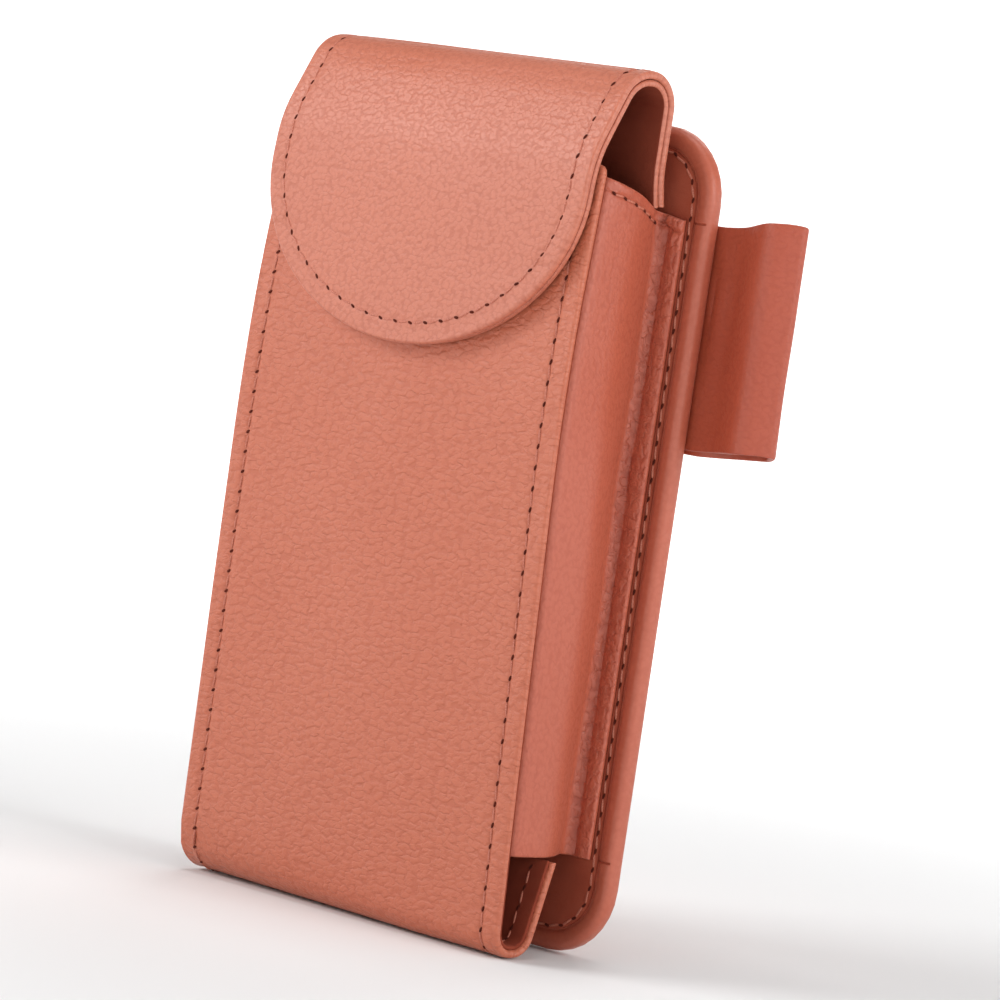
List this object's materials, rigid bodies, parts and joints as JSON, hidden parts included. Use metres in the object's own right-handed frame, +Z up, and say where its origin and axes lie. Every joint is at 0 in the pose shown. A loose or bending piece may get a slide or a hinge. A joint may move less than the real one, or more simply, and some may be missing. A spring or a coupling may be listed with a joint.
{
  "type": "leather ever ready case",
  "caption": "Upright leather belt pouch with a rounded back panel, bellows sides, a curved tuck-over magnetic flap, and a loop sewn to one side.",
  "frame": {"origin": "on the ground, at the middle of the back panel's foot, halfway through its thickness", "axes": "+X to the side that has the loop, +Y from the front panel to the back panel, +Z up"},
  "size_m": [0.121, 0.0411, 0.1694],
  "materials": {
    "pebbled_leather": "satin, pebbled grain",
    "welt_leather": "satin, smooth edge",
    "inner_leather": "matt, fine nap",
    "suede_lining": "suede, napped",
    "thread": "waxed thread",
    "board": "pressed fibre board",
    "steel": "plain"
  },
  "bodies": {
    "case": {"front_leather": "pebbled_leather", "front_lining": "suede_lining", "front_board": "board", "keeper_disc": "steel", "front_stitching_right": "thread", "front_stitching_left": "thread", "gusset_right": "pebbled_leather", "gusset_left": "pebbled_leather", "gusset_lining_right": "suede_lining", "gusset_lining_left": "suede_lining", "gusset_stitching_right": "thread", "gusset_stitching_left": "thread", "back_board": "board", "back_inner_leather": "inner_leather", "back_outer_leather": "pebbled_leather", "back_welt": "welt_leather", "back_inner_stitching": "thread", "back_outer_stitching": "thread", "rear_strap_leather": "pebbled_leather", "rear_strap_lining": "suede_lining", "rear_strap_stitching": "thread", "side_loop": "pebbled_leather", "side_loop_stitching": "thread", "belt_loop": "pebbled_leather", "belt_loop_lining": "suede_lining", "belt_loop_stitching": "thread"},
    "flap": {"flap_leather": "pebbled_leather", "flap_lining": "suede_lining", "flap_board": "board", "flap_magnet": "steel", "flap_stitching": "thread"}
  },
  "joints": [
    {"name": "flap_hinge", "type": "hinge", "parent": "case", "child": "flap", "pos_m": [0, -0.00801, 0.16392], "axis": [-1, 0, 0], "range_deg": [0, 150]}
  ]
}
